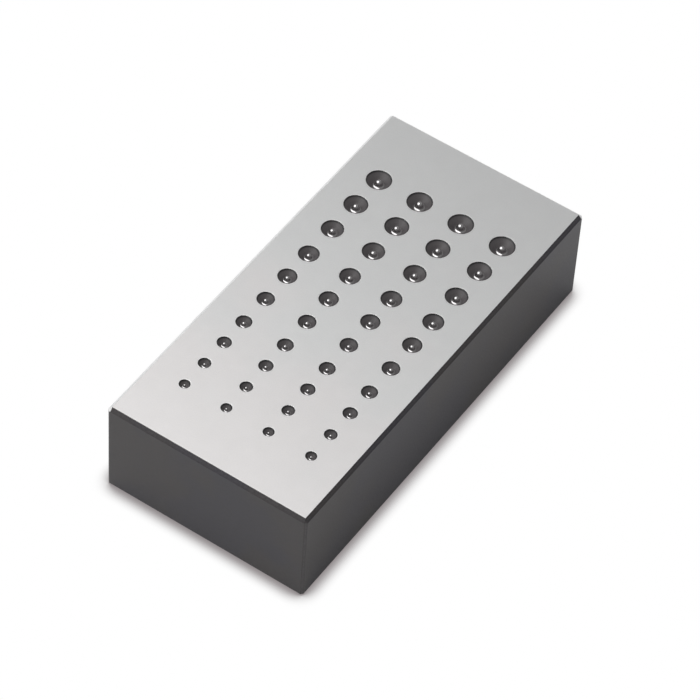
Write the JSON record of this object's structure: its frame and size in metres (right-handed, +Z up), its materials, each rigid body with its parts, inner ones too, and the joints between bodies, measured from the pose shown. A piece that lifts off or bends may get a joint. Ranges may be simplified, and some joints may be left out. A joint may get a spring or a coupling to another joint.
{
  "type": "beading block",
  "caption": "Bevelled steel block with a ground top and graded rows of conical recesses, each holding a domed hardened pin over which a beading tool's cupped tip is re-formed.",
  "frame": {"origin": "middle of the block's underside", "axes": "+X across the width, +Y along the length from the smallest beads to the largest, +Z up out of the ground top"},
  "size_m": [0.036, 0.075, 0.018],
  "materials": {
    "blackened_steel": "black oxide on the sides, the underside and the recesses; ground bright satin on top",
    "polished_steel": "hardened and mirror polished on the dome and foot, ground on the shank"
  },
  "bodies": {
    "root": {"block": "blackened_steel", "bead_pin_01_a": "polished_steel", "bead_pin_01_b": "polished_steel", "bead_pin_01_c": "polished_steel", "bead_pin_01_d": "polished_steel", "bead_pin_02_a": "polished_steel", "bead_pin_02_b": "polished_steel", "bead_pin_02_c": "polished_steel", "bead_pin_02_d": "polished_steel", "bead_pin_03_a": "polished_steel", "bead_pin_03_b": "polished_steel", "bead_pin_03_c": "polished_steel", "bead_pin_03_d": "polished_steel", "bead_pin_04_a": "polished_steel", "bead_pin_04_b": "polished_steel", "bead_pin_04_c": "polished_steel", "bead_pin_04_d": "polished_steel", "bead_pin_05_a": "polished_steel", "bead_pin_05_b": "polished_steel", "bead_pin_05_c": "polished_steel", "bead_pin_05_d": "polished_steel", "bead_pin_06_a": "polished_steel", "bead_pin_06_b": "polished_steel", "bead_pin_06_c": "polished_steel", "bead_pin_06_d": "polished_steel", "bead_pin_07_a": "polished_steel", "bead_pin_07_b": "polished_steel", "bead_pin_07_c": "polished_steel", "bead_pin_07_d": "polished_steel", "bead_pin_08_a": "polished_steel", "bead_pin_08_b": "polished_steel", "bead_pin_08_c": "polished_steel", "bead_pin_08_d": "polished_steel", "bead_pin_09_a": "polished_steel", "bead_pin_09_b": "polished_steel", "bead_pin_09_c": "polished_steel", "bead_pin_09_d": "polished_steel", "bead_pin_10_a": "polished_steel", "bead_pin_10_b": "polished_steel", "bead_pin_10_c": "polished_steel", "bead_pin_10_d": "polished_steel"}
  },
  "joints": []
}
